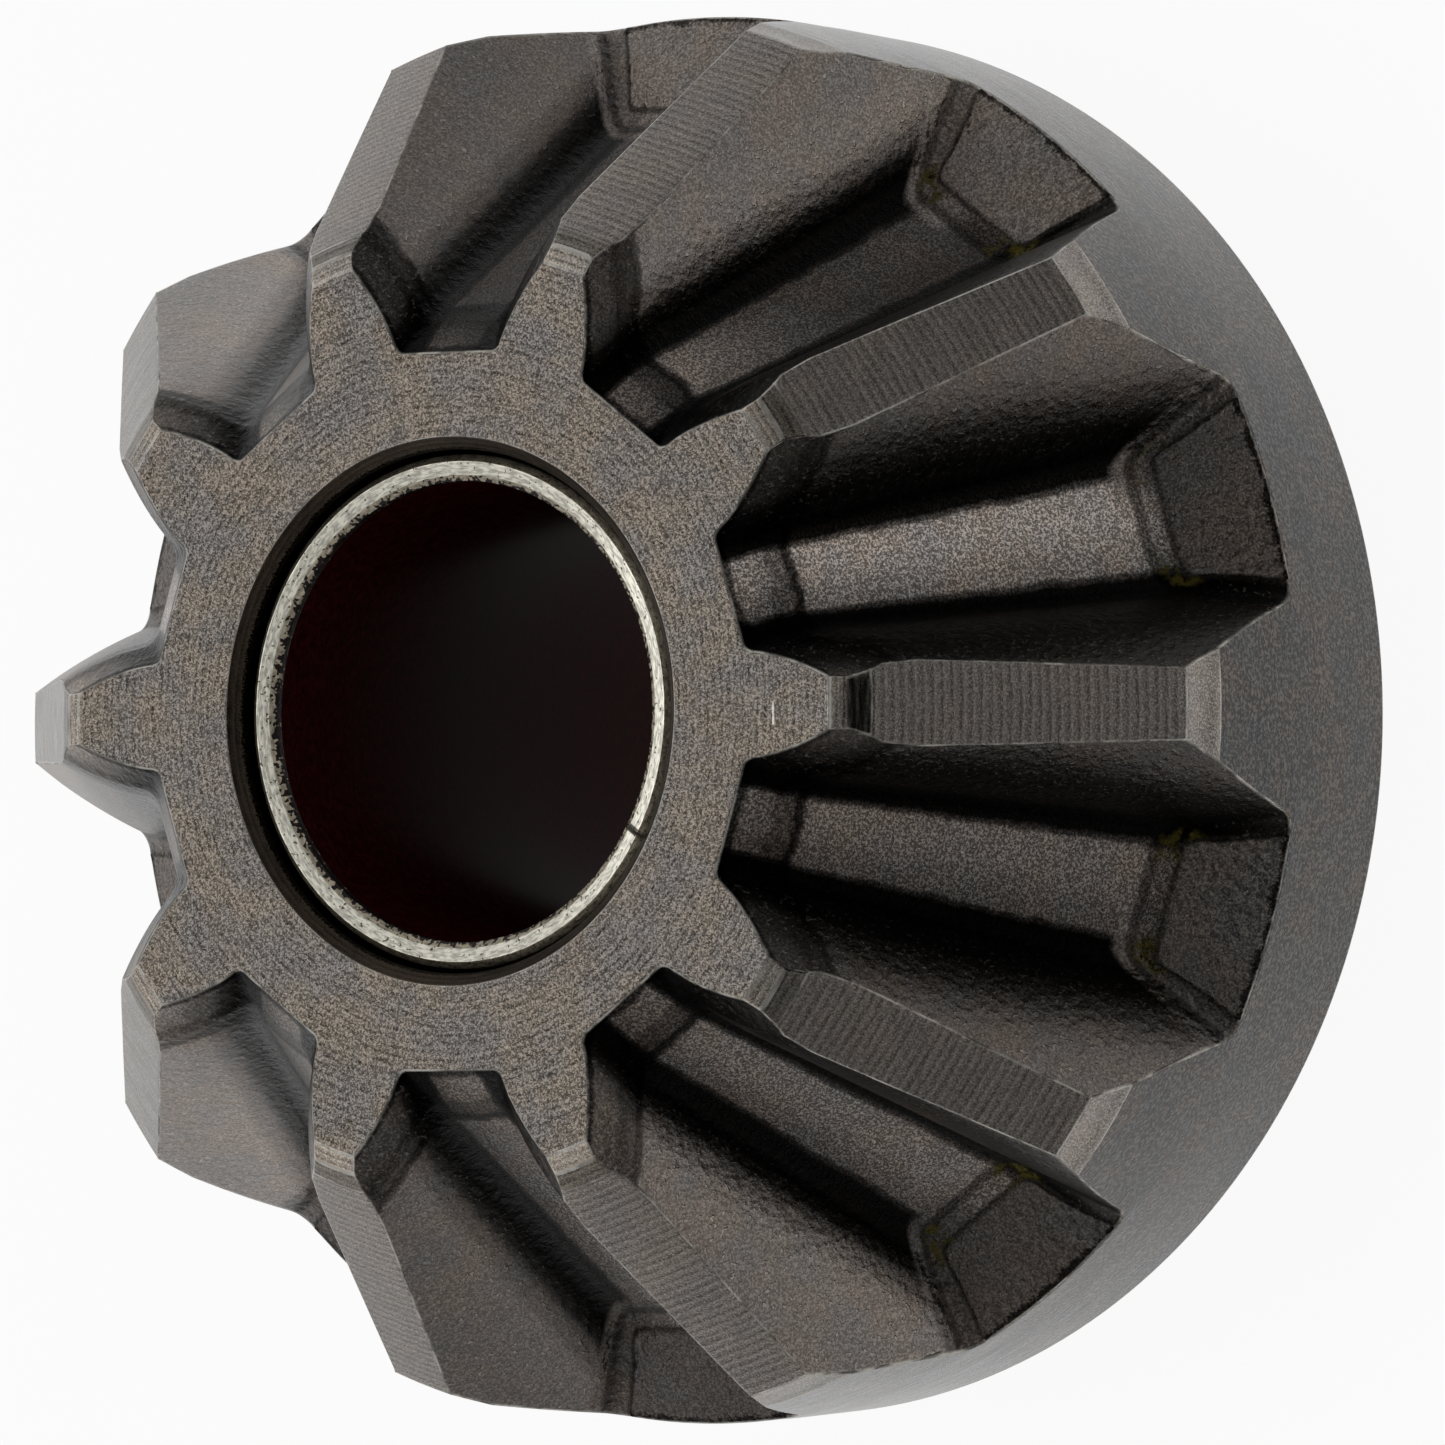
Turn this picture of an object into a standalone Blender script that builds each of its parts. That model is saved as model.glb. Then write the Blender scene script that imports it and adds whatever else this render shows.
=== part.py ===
"""A differential bevel pinion: a forged steel gear of straight teeth, and a split bush in its bore.

The tooth spaces are closed at the heel. It stands on its back, with +Z along its axis towards the nose
and tooth 1 on +X. Sizes are in metres.
"""

from math import atan, atan2, cos, degrees, pi, radians, sin, tan

import bpy
import numpy as np

MM = 0.001

# The pair of gears that the tooth form follows
TEETH = 10
MATE_TEETH = 16
PRESSURE_ANGLE = radians(25.0)
TOOTH_SHARE = 0.531  # of the circular pitch, on the pitch cone

# The turned blank
NOSE_TO_APEX = 42.6 * MM  # from the nose face up to the point where the tooth elements meet
RIM_BAND = 10.98 * MM  # from the edge of the heel wall back to the end of the rim
RIM_TAPER = 0.5 * MM  # how much the rim has lost at its back edge
FACE_RADIUS = 46.3 * MM  # top land at the heel
RIM_STEP = 0.45 * MM  # how far the rim stands out beyond the top land
FACE_ANGLE = radians(42.1)
NOSE_TIP_RADIUS = 29.95 * MM
NOSE_TIP_FLAT = 1.25 * MM  # first, flatter chamfer at the nose end of the top land
NOSE_TIP_STEEP = 1.1 * MM  # second, steeper one
NOSE_TIP_FLAT_ANGLE = radians(22.0)
NOSE_TIP_STEEP_ANGLE = radians(39.0)
HEEL_RELIEF_LENGTH = 3.3 * MM  # from the end of the top land to the full rim
RIM_BACK_CHAMFER = 0.6 * MM
BACK_FLAT_RADIUS = 24.5 * MM
BACK_BORE_CHAMFER = 1.6 * MM

# The forged tooth spaces
ROOT_ANGLE = radians(29.9)
TOP_ANGLE = radians(39.4)  # the space is cut up to this cone, clear above the top lands
ROOT_FILLET = 1.9 * MM
HEEL_WALL_REACH = 7.25 * MM  # from the rim in to where the floor turns up into the heel wall
HEEL_WALL_ANGLE = radians(64.7)  # from the axis
HEEL_FLANK_FILLET = 1.2 * MM  # between a flank and the heel wall
HEEL_FLOOR_FILLET = 3.2 * MM  # between the floor and the heel wall

# The forged bevel where a space opens on the nose: a steep band, then a shallow one
TOE_FLANK_BEVEL = 1.3 * MM  # how far the bevel widens the space on the nose face, to each side
TOE_FLOOR_BEVEL = 1.05 * MM  # the same at the floor
TOE_SHALLOW_BEVEL = 0.22 * MM  # what is left of both where the shallow band starts
TOE_STEEP_DEPTH = 2.0 * MM
TOE_SHALLOW_DEPTH = 3.7 * MM
TOE_CORNER = 0.6 * MM  # radius of the corners of a space on the nose face
CUT_LEAD = 1.5 * MM  # how far a cut starts ahead of the nose

# The bush, and how it sits in the bore
BUSH_BORE = 30.0 * MM
BUSH_WALL = 1.5 * MM
BUSH_FIT_GAP = 0.3 * MM
BUSH_RECESS = 1.1 * MM
BUSH_OUTER_CHAMFER = 0.35 * MM
BUSH_INNER_CHAMFER = 0.45 * MM
BUSH_SPLIT = 0.16 * MM
BUSH_SPLIT_AT = radians(-30.0)
BORE_CHAMFER = 1.05 * MM

# How finely round forms are divided
STEPS_PER_TOOTH = 12
BACK_STEPS = 6
FLANK_STEPS = 7
FILLET_STEPS = 4
BUSH_STEPS = 144
SHARP_ANGLE = radians(17.0)

# What follows from the sizes above
PITCH_ANGLE = atan(TEETH / MATE_TEETH)
BORE_RADIUS = BUSH_BORE / 2 + BUSH_WALL + BUSH_FIT_GAP
RIM_RADIUS = FACE_RADIUS + RIM_STEP
FLOOR_END_RADIUS = RIM_RADIUS - HEEL_WALL_REACH
FLOOR_END_DEPTH = FLOOR_END_RADIUS / tan(ROOT_ANGLE)
WALL_EDGE_DEPTH = FLOOR_END_DEPTH + HEEL_WALL_REACH / tan(HEEL_WALL_ANGLE)
RIM_BACK_DEPTH = WALL_EDGE_DEPTH + RIM_BAND
BACK_EDGE_RADIUS = RIM_RADIUS - RIM_TAPER - RIM_BACK_CHAMFER
BACK_EDGE_DEPTH = RIM_BACK_DEPTH + RIM_BACK_CHAMFER
BACK_SPHERE_RADIUS = (BACK_EDGE_RADIUS**2 + BACK_EDGE_DEPTH**2) ** 0.5
BACK_DEPTH = (BACK_SPHERE_RADIUS**2 - BACK_FLAT_RADIUS**2) ** 0.5
HEIGHT = BACK_DEPTH - NOSE_TO_APEX


def height_at(depth):
    """Height over the back face of a point that lies this far below the apex, along the axis."""
    return BACK_DEPTH - depth


def nose_tip_profile():
    """(radius, depth below the apex) down the two chamfers at the nose end of the top land."""
    radius = NOSE_TIP_RADIUS
    depth = NOSE_TO_APEX
    points = [(radius, depth)]
    flat = (NOSE_TIP_FLAT, NOSE_TIP_FLAT_ANGLE)
    steep = (NOSE_TIP_STEEP, NOSE_TIP_STEEP_ANGLE)
    for width, angle in (flat, steep):
        radius += width
        depth += width * tan(angle)
        points.append((radius, depth))
    return points


def blank_profile():
    """The turned blank as (radius, depth), from the bore's mouth over the nose, rim and back."""
    tips = nose_tip_profile()
    tip_end_radius, tip_end_depth = tips[-1]
    face_depth = tip_end_depth + (FACE_RADIUS - tip_end_radius) / tan(FACE_ANGLE)
    profile = [(BORE_RADIUS, NOSE_TO_APEX + BORE_CHAMFER)]
    profile.append((BORE_RADIUS + BORE_CHAMFER, NOSE_TO_APEX))
    profile += tips
    profile.append((FACE_RADIUS, face_depth))
    profile.append((RIM_RADIUS, face_depth + HEEL_RELIEF_LENGTH))
    profile.append((RIM_RADIUS, WALL_EDGE_DEPTH))
    profile.append((RIM_RADIUS - RIM_TAPER, RIM_BACK_DEPTH))
    # The thrust face is a ball face centred on the apex, so the pinion turns true in its case
    start = atan2(BACK_EDGE_RADIUS, BACK_EDGE_DEPTH)
    end = atan2(BACK_FLAT_RADIUS, BACK_DEPTH)
    for angle in np.linspace(start, end, BACK_STEPS + 1):
        profile.append((BACK_SPHERE_RADIUS * sin(angle), BACK_SPHERE_RADIUS * cos(angle)))
    profile.append((BORE_RADIUS + BACK_BORE_CHAMFER, BACK_DEPTH))
    profile.append((BORE_RADIUS, BACK_DEPTH - BACK_BORE_CHAMFER))
    return profile


def involute(angle):
    """The polar angle that an involute has turned through where its pressure angle is this."""
    return np.tan(angle) - angle


def virtual_radius(cone_angle):
    """Radius on the virtual spur gear, whose cone distance is 1, of a line at this angle from the axis."""
    slope = np.tan(cone_angle)
    return slope / cos(PITCH_ANGLE) / (cos(PITCH_ANGLE) + slope * sin(PITCH_ANGLE))


def space_outline(scale, widening=0.0, deepening=0.0, corner=ROOT_FILLET):
    """Half of a tooth space on the virtual spur gear, from its top down the flank to the floor.

    The flank is an involute. A widening moves it into the tooth along its own normals, and a deepening
    lowers the floor. The sizes are given at this scale, the cone distance of the section, and the outline
    that comes out has a cone distance of 1. It returns the points, as the distance from the middle of the
    space and the height over the gear's centre, and the normal at each, which points into the space.
    """
    widening, deepening, corner = widening / scale, deepening / scale, corner / scale
    base = tan(PITCH_ANGLE) * cos(PRESSURE_ANGLE)
    floor = virtual_radius(ROOT_ANGLE) - deepening
    half_pitch = pi / TEETH * cos(PITCH_ANGLE)
    radius = np.linspace(floor * 0.9, virtual_radius(TOP_ANGLE), 300)
    angle = np.arccos(np.minimum(base / radius, 1.0))
    half_tooth = half_pitch * TOOTH_SHARE + involute(PRESSURE_ANGLE) - involute(angle)
    half_space = half_pitch - half_tooth
    slope = half_space + angle
    # The corner's centre lies one corner radius inside the flank and above the floor
    height_of_centre = radius * np.cos(half_space) + (corner - widening) * np.sin(slope)
    start = np.interp(floor + corner, height_of_centre, radius)
    rows = np.linspace(radius[-1], start, FLANK_STEPS + 1)
    half_space = np.interp(rows, radius, half_space)
    slope = np.interp(rows, radius, slope)
    normals = np.stack([-np.cos(slope), np.sin(slope)], axis=1)
    flank = rows[:, None] * np.stack([np.sin(half_space), np.cos(half_space)], axis=1)
    flank -= widening * normals
    centre = flank[-1] + corner * normals[-1]
    turn = np.linspace(slope[-1], pi / 2, FILLET_STEPS + 1)[1:]
    corner_normals = np.stack([-np.cos(turn), np.sin(turn)], axis=1)
    points = np.concatenate([flank, centre - corner * corner_normals])
    return points, np.concatenate([normals, corner_normals])


def on_surface(outline, surface):
    """Carries points of the virtual gear along lines from the apex to a turned surface, in 3D.

    The surface is given by three numbers, as a * radius + b * depth = c. The last may differ from point
    to point.
    """
    a, b, c = surface
    reach = np.hypot(outline[:, 0], outline[:, 1])
    turn = np.arctan2(outline[:, 0], outline[:, 1]) / cos(PITCH_ANGLE)
    radius = reach * cos(PITCH_ANGLE)
    depth = 1 / cos(PITCH_ANGLE) - reach * sin(PITCH_ANGLE)
    stretch = c / (a * radius + b * depth)
    x, y = stretch * radius * np.cos(turn), stretch * radius * np.sin(turn)
    return np.stack([x, y, height_at(stretch * depth)], axis=1)


def level(depth):
    """The flat surface across the axis at this depth below the apex."""
    return (0.0, 1.0, depth)


def heel_wall(ahead):
    """The conical wall at the heel, moved this far ahead of itself into the space."""
    across = cos(HEEL_WALL_ANGLE)
    along = -sin(HEEL_WALL_ANGLE)
    return (across, along, across * FLOOR_END_RADIUS + along * FLOOR_END_DEPTH + ahead)


def toe_stations():
    """(outline, surface) of each section from ahead of the nose down through the toe bevel."""
    lead = CUT_LEAD / TOE_STEEP_DEPTH
    flank_lead = TOE_FLANK_BEVEL + (TOE_FLANK_BEVEL - TOE_SHALLOW_BEVEL) * lead
    floor_lead = TOE_FLOOR_BEVEL + (TOE_FLOOR_BEVEL - TOE_SHALLOW_BEVEL) * lead
    sections = (
        (-CUT_LEAD, flank_lead, floor_lead, TOE_CORNER / 2),
        (0.0, TOE_FLANK_BEVEL, TOE_FLOOR_BEVEL, TOE_CORNER),
        (TOE_STEEP_DEPTH, TOE_SHALLOW_BEVEL, TOE_SHALLOW_BEVEL, ROOT_FILLET - TOE_SHALLOW_BEVEL),
        (TOE_SHALLOW_DEPTH, 0.0, 0.0, ROOT_FILLET),
    )
    stations = []
    for depth, widening, deepening, corner in sections:
        below = NOSE_TO_APEX + depth
        outline, _ = space_outline(below / cos(PITCH_ANGLE), widening, deepening, corner)
        stations.append((outline, level(below)))
    return stations


def heel_stations():
    """(outline, surface) of each section through the fillet between flanks, floor and heel wall."""
    scale = FLOOR_END_RADIUS / sin(ROOT_ANGLE)
    outline, normals = space_outline(scale)
    share = normals[:, 1] ** 2
    fillet = HEEL_FLANK_FILLET * (1 - share) + HEEL_FLOOR_FILLET * share
    turn = np.arccos(normals[:, 1] * cos(HEEL_WALL_ANGLE - ROOT_ANGLE))
    stations = []
    for part in np.linspace(0.0, 1.0, FILLET_STEPS + 1):
        inset = fillet * (1 - np.cos(turn * part))
        ahead = fillet * (1 - np.cos(turn * (1 - part)))
        stations.append((outline + normals * (inset / scale)[:, None], heel_wall(ahead)))
    return stations


def space_cutter_mesh():
    """One tooth space as a closed loft along +X, before it is turned to its place between two teeth."""
    vertices = []
    rings = []
    count = FLANK_STEPS + 1 + FILLET_STEPS
    for half, surface in toe_stations() + heel_stations():
        middle = np.stack([np.zeros(count), half[:, 1]], axis=1)
        middle[0, 1] = virtual_radius(TOP_ANGLE)
        rings.append(len(vertices))
        for outline in (half * (-1.0, 1.0), middle, half):
            vertices += on_surface(outline, surface).tolist()

    faces = []

    def quad(*corners):
        """A face from corners given as (ring, column, row)."""
        faces.append([rings[ring] + column * count + row for ring, column, row in corners])

    foot = count - 1
    last = len(rings) - 1
    for ring in range(last):
        ahead = ring + 1
        for row in range(foot):
            below = row + 1
            quad((ring, 0, row), (ring, 0, below), (ahead, 0, below), (ahead, 0, row))
            quad((ring, 2, row), (ahead, 2, row), (ahead, 2, below), (ring, 2, below))
        for column in (0, 1):
            beside = column + 1
            quad((ring, column, foot), (ring, beside, foot), (ahead, beside, foot), (ahead, column, foot))
            quad((ring, column, 0), (ahead, column, 0), (ahead, beside, 0), (ring, beside, 0))
    for row in range(foot):
        below = row + 1
        for column in (0, 1):
            beside = column + 1
            quad((0, column, row), (0, beside, row), (0, beside, below), (0, column, below))
            quad((last, column, row), (last, column, below), (last, beside, below), (last, beside, row))
    mesh = bpy.data.meshes.new("tooth_space")
    mesh.from_pydata(vertices, [], faces)
    mesh.update()
    return mesh


def turned_mesh(name, profile, steps, start=0.0, opening=0.0):
    """A closed outline of (radius, depth) turned about the axis, left open where an opening is given."""
    profile = np.array(profile)
    count = len(profile)
    turns = np.linspace(0.0, 2 * pi, steps + 1)
    if not opening:
        turns = turns[:-1]
    vertices = []
    for turn in turns:
        # The two sides of an opening are parallel, so the angle that it takes away shrinks with the radius
        lost = np.arcsin(opening / 2 / profile[:, 0]) * (1 - turn / pi)
        angle = turn + lost + start
        x, y = profile[:, 0] * np.cos(angle), profile[:, 0] * np.sin(angle)
        vertices += np.stack([x, y, height_at(profile[:, 1])], axis=1).tolist()
    faces = []
    for step in range(steps):
        here = step * count
        there = (step + 1) % len(turns) * count
        for row in range(count):
            below = (row + 1) % count
            faces.append((here + row, here + below, there + below, there + row))
    if opening:
        faces.append(tuple(range(count))[::-1])
        faces.append(tuple(range(steps * count, steps * count + count)))
    mesh = bpy.data.meshes.new(name)
    mesh.from_pydata(vertices, [], faces)
    mesh.update()
    return mesh


def steel(name, colour, roughness, metallic):
    material = bpy.data.materials.new(name)
    material.use_nodes = True
    shader = material.node_tree.nodes["Principled BSDF"]
    shader.inputs["Base Color"].default_value = (*colour, 1.0)
    shader.inputs["Roughness"].default_value = roughness
    shader.inputs["Metallic"].default_value = metallic
    return material


def place(name, mesh, material=None):
    item = bpy.data.objects.new(name, mesh)
    bpy.context.scene.collection.objects.link(item)
    if material:
        mesh.materials.append(material)
    return item


def finish(item):
    """Round surfaces are shaded smooth, and edges stay crisp."""
    item.data.shade_smooth()
    item.data.set_sharp_from_angle(angle=SHARP_ANGLE)


def make_pinion():
    """The gear body: the turned blank less its tooth spaces."""
    material = steel("phosphated_steel", (0.085, 0.078, 0.074), 0.5, 0.6)
    steps = TEETH * STEPS_PER_TOOTH
    # The facets are turned by half a step, so that none of their edges runs down the middle of a space
    blank = turned_mesh("blank", blank_profile(), steps, pi / steps)
    pinion = place("pinion_gear", blank, material)
    space = space_cutter_mesh()
    cutters = []
    for index in range(TEETH):
        cutter = place(f"space_{index + 1}", space)
        cutter.rotation_euler.z = 2 * pi * (index + 0.5) / TEETH
        cutters.append(cutter)
        cut = pinion.modifiers.new(cutter.name, "BOOLEAN")
        cut.operation = "DIFFERENCE"
        cut.solver = "EXACT"
        cut.object = cutter
    # The cuts are applied, so that the edges they leave can be marked sharp
    graph = bpy.context.evaluated_depsgraph_get()
    pinion.data = bpy.data.meshes.new_from_object(pinion.evaluated_get(graph))
    pinion.modifiers.clear()
    for cutter in cutters:
        bpy.data.objects.remove(cutter)
    finish(pinion)
    return pinion


def make_bush():
    """The bush in the bore: a strip of lined steel rolled into a ring, whose ends meet in a butt joint."""
    inner = BUSH_BORE / 2
    outer = inner + BUSH_WALL
    top = NOSE_TO_APEX + BUSH_RECESS
    foot = BACK_DEPTH - BUSH_RECESS
    profile = [
        (inner, top + BUSH_INNER_CHAMFER),
        (inner + BUSH_INNER_CHAMFER, top),
        (outer - BUSH_OUTER_CHAMFER, top),
        (outer, top + BUSH_OUTER_CHAMFER),
        (outer, foot - BUSH_OUTER_CHAMFER),
        (outer - BUSH_OUTER_CHAMFER, foot),
        (inner + BUSH_INNER_CHAMFER, foot),
        (inner, foot - BUSH_INNER_CHAMFER),
    ]
    material = steel("tinned_steel", (0.55, 0.53, 0.47), 0.35, 1.0)
    mesh = turned_mesh("split_bush", profile, BUSH_STEPS, BUSH_SPLIT_AT, BUSH_SPLIT)
    bush = place("split_bush", mesh, material)
    finish(bush)
    return bush


def main():
    for item in list(bpy.data.objects):
        bpy.data.objects.remove(item, do_unlink=True)
    make_pinion()
    make_bush()
    print(f"height {HEIGHT / MM:.2f} mm, pitch angle {degrees(PITCH_ANGLE):.2f} degrees")


main()
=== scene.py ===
# %% [markdown]
# # A straight bevel pinion, dressed over its CAD frame
#
# A bevel pinion turns in a differential and meshes with the side gears. Here
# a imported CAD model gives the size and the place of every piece. The script
# adds what the CAD leaves out: the fine surfaces and the finish. The CAD
# meshes could be shown as they are, but their facets would show in the light
# and they don't know where an edge or a floor is, which the finishes need.

import bmesh
import bpy
import numpy as np
from mathutils import Matrix


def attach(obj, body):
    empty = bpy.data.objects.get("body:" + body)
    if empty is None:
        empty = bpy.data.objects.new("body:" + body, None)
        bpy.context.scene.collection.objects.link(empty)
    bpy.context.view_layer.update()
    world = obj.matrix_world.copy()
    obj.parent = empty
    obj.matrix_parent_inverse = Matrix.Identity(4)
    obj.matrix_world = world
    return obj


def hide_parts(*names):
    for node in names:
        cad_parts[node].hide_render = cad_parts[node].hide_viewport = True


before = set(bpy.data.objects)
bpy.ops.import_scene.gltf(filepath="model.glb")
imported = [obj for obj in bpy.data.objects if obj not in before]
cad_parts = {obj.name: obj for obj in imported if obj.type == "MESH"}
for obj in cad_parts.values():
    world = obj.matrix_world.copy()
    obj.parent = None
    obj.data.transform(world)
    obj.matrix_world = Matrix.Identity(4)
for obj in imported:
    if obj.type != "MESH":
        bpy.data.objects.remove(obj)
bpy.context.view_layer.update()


# %% [markdown]
# ## The camera
#
# The photograph was taken from far away with a long lens, about 35 degrees
# off the axis, so the gear shows almost no perspective. A camera could be set
# by eye. This one was fitted: its place, turn and focal length bring the
# bore, the nose face and the ten tooth tips onto their places in the picture.

# %% Place the camera
def new_object(name, data):
    """An object with this data, put in the scene."""
    item = bpy.data.objects.new(name, data)
    bpy.context.scene.collection.objects.link(item)
    return item


PHOTO_WIDTH, SENSOR_WIDTH = 1445, 36.0
FOCAL_PIXELS, PHOTO_CENTRE = 16585.37, (725.88, 722.59)
camera_data = bpy.data.cameras.new("photo_camera")
camera = new_object("photo_camera", camera_data)
camera_turn = ((0.823426, 0.017358, 0.567158),
               (-0.003449, 0.999667, -0.025587),
               (-0.567413, 0.019113, 0.823212))
camera.matrix_world = (Matrix.Translation((0.626169, -0.028391, 0.926575))
                       @ Matrix(camera_turn).to_4x4())
camera_data.sensor_width = SENSOR_WIDTH
camera_data.lens = FOCAL_PIXELS / PHOTO_WIDTH * SENSOR_WIDTH
camera_data.shift_x = (PHOTO_WIDTH / 2 - PHOTO_CENTRE[0]) / PHOTO_WIDTH
camera_data.shift_y = (PHOTO_CENTRE[1] - PHOTO_WIDTH / 2) / PHOTO_WIDTH
camera_data.clip_end = 10
bpy.context.scene.camera = camera
print("The camera stands", round(camera.matrix_world.translation.length, 3), "m away; its lens is",
      round(camera_data.lens), "mm long")

# %% [markdown]
# ## The tooth spaces
#
# Ten forged spaces shape the teeth. Their flanks and floors are ruled: every
# line on them runs to one point on the axis, the apex, where the pinion and
# its mate would meet. One could cut the spaces with Booleans, as the CAD does,
# but a grid that follows the metal gives clean light on the flanks and says
# how far each point is from an edge. So a space is a surface of two
# parameters: a row across it, from the middle of the floor to the tip of a
# flank, and a station along it, from the nose to the rim.

# %% Repeat the sizes of the CAD
MM = 0.001
TEETH = 10
HALF_PITCH = np.pi / TEETH
MATE_TEETH = 16
PITCH_ANGLE = np.arctan(TEETH / MATE_TEETH)
PRESSURE_ANGLE, ROOT_ANGLE, WALL_ANGLE, BEYOND_TIPS = np.radians((25.0, 29.9, 64.7, 40.0))
TOOTH_SHARE = 0.531
ROOT_FILLET, FLANK_FILLET, FLOOR_FILLET = 1.9, 1.2, 3.2
BACK_DEPTH = 92.1374
FLOOR_END = (39.5, 68.6926)
BLANK = np.array([(0, 42.6), (29.95, 42.6), (31.2, 43.105), (32.3, 43.9958), (46.3, 59.4900),
                  (46.75, 62.7900), (46.75, 83.0997)])
NOSE, RIM = BLANK[0, 1], BLANK[-1, 0]
print("Sizes are in millimetres, and depth runs down from the apex. Height:", round(BACK_DEPTH - NOSE, 3))

# %% Write the form of a flank
def involute(angle):
    """The turn of an involute: the tangent of its pressure angle, less that angle."""
    return np.tan(angle) - angle


def virtual_radius(cone_angle):
    """The radius on Tredgold's spur gear of a line at this angle to the axis."""
    slope = np.tan(cone_angle)
    return slope / np.cos(PITCH_ANGLE) / (np.cos(PITCH_ANGLE) + slope * np.sin(PITCH_ANGLE))


def flank_point(reach, widening):
    """An involute about the gear's centre, moved into the tooth along its normal by the widening."""
    base = np.tan(PITCH_ANGLE) * np.cos(PRESSURE_ANGLE)
    angle = np.arccos(np.minimum(base / reach, 1.0))
    pitch = HALF_PITCH * np.cos(PITCH_ANGLE)
    half = pitch * (1 - TOOTH_SHARE) - involute(PRESSURE_ANGLE) + involute(angle)
    slope = half + angle
    across = reach * np.sin(half) + widening * np.cos(slope)
    height = reach * np.cos(half) - widening * np.sin(slope)
    return across, height, slope


def solve(excess, low, high):
    """Halves the range from low to high, 50 times, around the place where the excess turns positive."""
    for _ in range(50):
        middle = (low + high) / 2
        past = excess(middle) > 0
        low, high = np.where(past, low, middle), np.where(past, middle, high)
    return middle


def outside_blank(radius, depth):
    """How far a point stands out of the turned blank: its largest distance beyond the blank's sides."""
    side = np.diff(BLANK, axis=0)
    side = side / np.hypot(side[:, 0], side[:, 1])[:, None]
    across, down = radius[..., None] - BLANK[:-1, 0], depth[..., None] - BLANK[:-1, 1]
    return (across * side[:, 1] - down * side[:, 0]).max(axis=-1)

# %% Set the stations along a space
EDGE = 0.15
TOE_DEPTHS, TOE_END = (0.0, 2.0, 3.7), 46.3
TOE_WIDENING, TOE_DEEPENING = (1.3, 0.22, 0.0), (1.05, 0.22, 0.0)
TOE_CORNER = (0.6, 1.68, ROOT_FILLET)


def stations(level=TOE_END, share=0.0, turn=0.0, extra=0.0, limit=np.inf):
    """Sections of a space as columns of numbers: the toe bevel shrinks with the depth below the nose."""
    columns = (np.atleast_1d(value).astype(float) for value in (level, share, turn))
    level, share, turn = np.broadcast_arrays(*columns)
    below = level - NOSE
    heel = FLOOR_END[0] / np.sin(ROOT_ANGLE)
    return {"level": level[:, None], "share": share[:, None], "turn": turn[:, None],
            "limit": np.full((len(level), 1), limit),
            "widen": np.interp(below, TOE_DEPTHS, TOE_WIDENING)[:, None] + extra,
            "deepen": np.interp(below, TOE_DEPTHS, TOE_DEEPENING)[:, None] + extra,
            "corner": np.interp(below, TOE_DEPTHS, TOE_CORNER)[:, None],
            "scale": ((1 - share) * level / np.cos(PITCH_ANGLE) + share * heel)[:, None]}


def carve(across, height, slope, at):
    """Carries a point of the virtual gear along its line from the apex to a station's surface.

    The surface is a cone: depth is its start plus its lean times the radius. It is flat at the nose and
    leans more and more, up to the heel wall. At the heel a ball rolls between flank and wall: its turn
    moves the point inward and the wall ahead.
    """
    up = np.sin(slope)
    ball = FLANK_FILLET + (FLOOR_FILLET - FLANK_FILLET) * up ** 2
    arc = np.arccos(up * np.cos(WALL_ANGLE - ROOT_ANGLE))
    inset = ball * (1 - np.cos(arc * at["turn"])) / at["scale"]
    ahead = ball * (1 - np.cos(arc * (1 - at["turn"])))
    across, height = across - np.cos(slope) * inset, height + up * inset
    wall = FLOOR_END[1] - FLOOR_END[0] / np.tan(WALL_ANGLE) - ahead / np.sin(WALL_ANGLE)
    start = at["level"] + (wall - at["level"]) * at["share"]
    lean = at["share"] / np.tan(WALL_ANGLE)
    reach = np.hypot(across, height)
    radius = reach * np.cos(PITCH_ANGLE)
    depth = 1 / np.cos(PITCH_ANGLE) - reach * np.sin(PITCH_ANGLE)
    stretch = start / (depth - lean * radius)
    return stretch * radius, stretch * depth, np.arctan2(across, height) / np.cos(PITCH_ANGLE)

# %% Lay the rows across a space
FLOOR_ROWS = np.linspace(0, 1, 6)[:-1]
CORNER_ROWS = np.linspace(0, 1, 9)
FLANK_ROWS = np.linspace(0, 1, 15)[1:]


def half_space(at):
    """Rows of half a space as radius, depth and azimuth: a level floor, a round corner, an involute flank.

    The corner's circle touches floor and flank. The last row is where the flank leaves the blank.
    """
    widen, corner = at["widen"] / at["scale"], at["corner"] / at["scale"]
    floor = virtual_radius(ROOT_ANGLE) - at["deepen"] / at["scale"]
    top = np.full_like(floor, virtual_radius(BEYOND_TIPS))

    def above_floor(reach):
        _, height, slope = flank_point(reach, widen)
        return height + corner * np.sin(slope) - corner - floor

    def past_blank(reach):
        radius, depth, _ = carve(*flank_point(reach, widen), at)
        return np.maximum(outside_blank(radius, depth) - 1e-6, radius - at["limit"])

    foot = solve(above_floor, floor * 0.9, top)
    tip = solve(past_blank, foot, top)
    across, height, slope = flank_point(foot, widen)
    middle = across - corner * np.cos(slope), height + corner * np.sin(slope)
    bend = np.pi / 2 + (slope - np.pi / 2) * CORNER_ROWS
    level = np.full_like(floor * FLOOR_ROWS, np.pi / 2)
    last = tip - EDGE / at["scale"]
    flank = flank_point(np.hstack([foot + (last - foot) * FLANK_ROWS, tip]), widen)
    across = np.hstack([middle[0] * FLOOR_ROWS, middle[0] + corner * np.cos(bend), flank[0]])
    height = np.hstack([floor + 0 * FLOOR_ROWS, middle[1] - corner * np.sin(bend), flank[1]])
    return np.stack(carve(across, height, np.hstack([level, bend, flank[2]]), at))

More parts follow.
